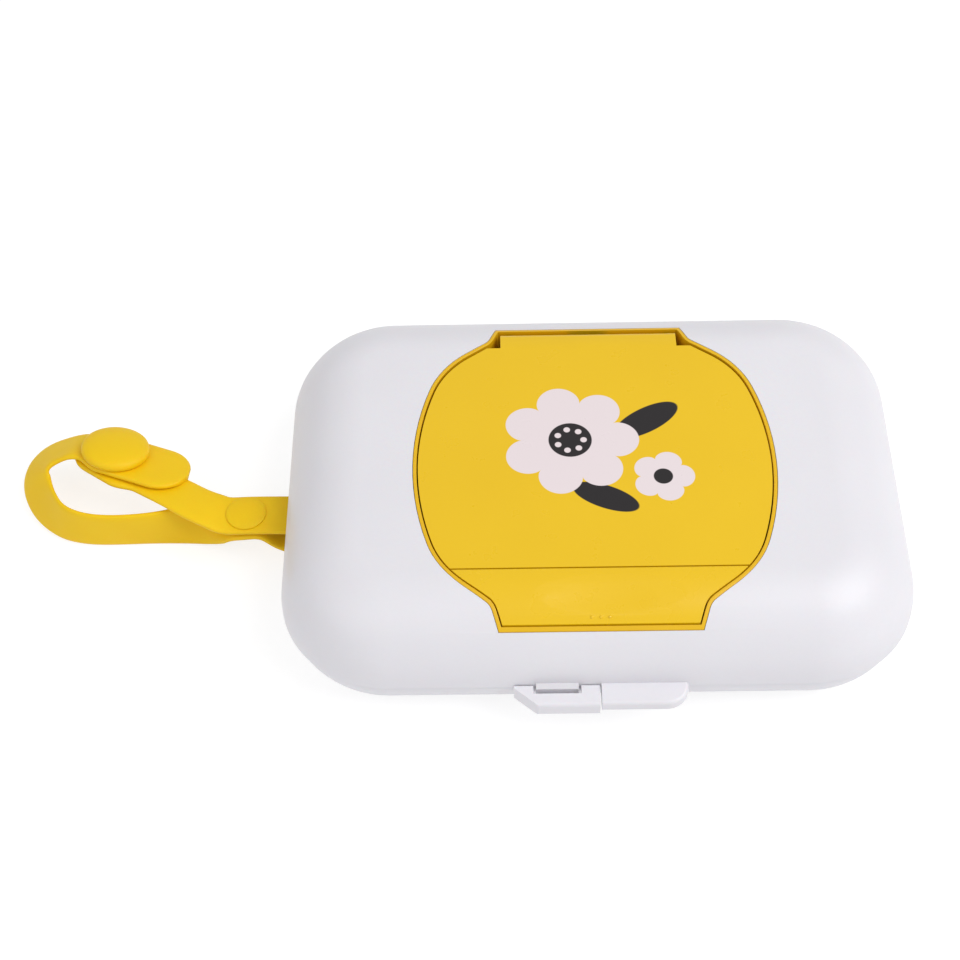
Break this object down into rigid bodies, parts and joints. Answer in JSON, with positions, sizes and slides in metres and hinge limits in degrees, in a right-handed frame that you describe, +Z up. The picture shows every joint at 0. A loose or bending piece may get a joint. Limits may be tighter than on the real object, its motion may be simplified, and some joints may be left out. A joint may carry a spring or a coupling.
{
  "type": "baby wipes travel case",
  "caption": "Hinged travel case for baby wipes with a pop-up dispensing lid, release button, front catch tabs and a wrist strap closed by press studs.",
  "frame": {"origin": "centre of the flat face under the case that it rests on", "axes": "+X towards the case's right-hand end, away from the strap; +Y towards the hinges; +Z up out of the lid"},
  "size_m": [0.2806, 0.148, 0.045],
  "materials": {
    "shell_plastic": "satin",
    "yellow_plastic": "satin",
    "lid_plastic": "glossy",
    "strap_rubber": "matte",
    "seal_silicone": "matte",
    "steel": "polished"
  },
  "bodies": {
    "base": {"bottom_shell": "shell_plastic", "shell_gasket": "seal_silicone", "hinge_pin_left": "steel", "hinge_pin_right": "steel"},
    "cover": {"top_shell": "shell_plastic", "dispenser_frame": "yellow_plastic", "nozzle_membrane": "seal_silicone", "nozzle_retainer": "yellow_plastic", "lid_hinge_pin": "steel", "lid_spring": "steel", "button_pivot_pin": "steel", "button_spring": "steel"},
    "flip_lid": {"flip_lid": "lid_plastic", "lid_seal": "seal_silicone"},
    "release_button": {"release_button": "lid_plastic"},
    "strap": {"strap": "strap_rubber", "closure_snap_cap": "strap_rubber", "closure_snap_socket": "strap_rubber", "keeper_snap_cap": "strap_rubber", "keeper_snap_socket": "strap_rubber"}
  },
  "joints": [
    {"name": "cover_hinge", "type": "hinge", "parent": "base", "child": "cover", "pos_m": [0, 0.0709, 0.0195], "axis": [-1, 0, 0], "range_deg": [0, 110]},
    {"name": "lid_hinge", "type": "hinge", "parent": "cover", "child": "flip_lid", "pos_m": [0, 0.0473, 0.04151], "axis": [-1, 0, 0], "range_deg": [0, 100], "deforming": ["lid_spring"]},
    {"name": "button_press", "type": "hinge", "parent": "cover", "child": "release_button", "pos_m": [0, -0.0495, 0.0389], "axis": [1, 0, 0], "range_deg": [0, 3], "stiffness_Nm_per_rad": 0.05, "deforming": ["button_spring"]},
    {"name": "strap_swing", "type": "hinge", "parent": "base", "child": "strap", "pos_m": [-0.0895, 0, 0.0101], "axis": [0, 1, 0], "range_deg": [-8, 8]}
  ]
}
